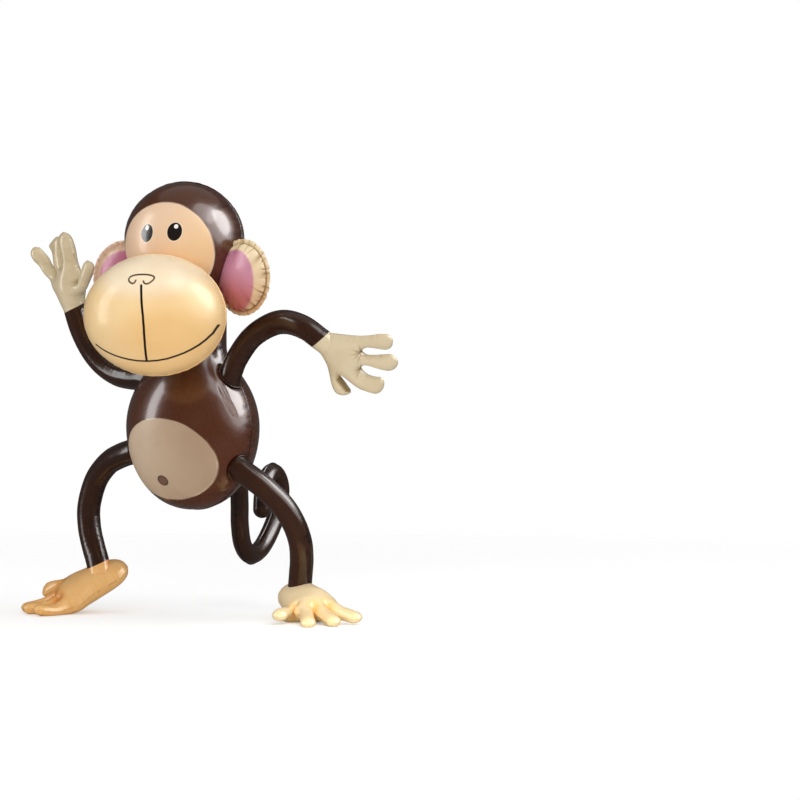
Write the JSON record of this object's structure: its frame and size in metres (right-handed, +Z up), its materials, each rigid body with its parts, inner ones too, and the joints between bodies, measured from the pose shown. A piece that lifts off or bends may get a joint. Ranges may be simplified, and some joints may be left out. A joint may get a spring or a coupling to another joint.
{
  "type": "inflatable monkey figure",
  "caption": "Glossy vinyl inflatable monkey standing on its toes: round head with a large muzzle, disc ears, pear-shaped torso, tube limbs, open hands and feet, curled tail.",
  "frame": {"origin": "on the floor under the middle of the figure's bounding box", "axes": "+Z up, the torso faces -Y, the monkey's own left arm reaches toward +X"},
  "size_m": [0.6694, 0.5536, 0.688],
  "materials": {
    "brown_vinyl": "gloss vinyl film",
    "dark_vinyl": "gloss vinyl film",
    "cream_vinyl": "gloss vinyl film",
    "ear_vinyl": "gloss vinyl film",
    "hand_vinyl": "gloss vinyl film",
    "foot_vinyl": "gloss vinyl film"
  },
  "bodies": {
    "root": {"head": "brown_vinyl", "torso": "brown_vinyl", "muzzle": "cream_vinyl", "ear_left": "ear_vinyl", "ear_right": "ear_vinyl", "arm_left": "dark_vinyl", "arm_right": "dark_vinyl", "leg_left": "dark_vinyl", "leg_right": "dark_vinyl", "tail": "dark_vinyl", "hand_left": "hand_vinyl", "hand_right": "hand_vinyl", "foot_left": "foot_vinyl", "foot_right": "foot_vinyl"}
  },
  "joints": []
}
